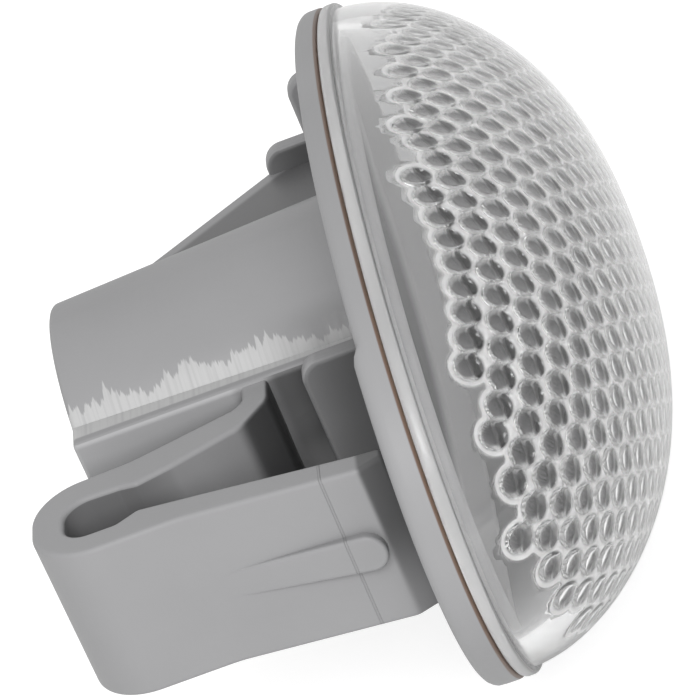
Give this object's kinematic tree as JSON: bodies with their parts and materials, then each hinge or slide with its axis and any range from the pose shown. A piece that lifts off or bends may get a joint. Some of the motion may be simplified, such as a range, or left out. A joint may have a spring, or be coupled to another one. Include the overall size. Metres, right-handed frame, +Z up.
{
  "type": "vehicle indicator lamp",
  "caption": "Oval side indicator lamp: clear domed lens with pillow optics on a grey housing with a bulb tube, a folded spring clip and a fixed hook.",
  "frame": {"origin": "middle of the flange's back, on the outer face of the panel that the lamp is clipped into", "axes": "+X along the oval towards the fixed hook, -X towards the spring clip; -Y out of the lens; +Y along the bulb tube, out of its mouth; +Z up"},
  "size_m": [0.07, 0.0443, 0.042],
  "materials": {
    "housing": "satin moulded grey",
    "lens": "clear gloss acrylic"
  },
  "bodies": {
    "root": {"housing": "housing", "lens": "lens"}
  },
  "joints": []
}
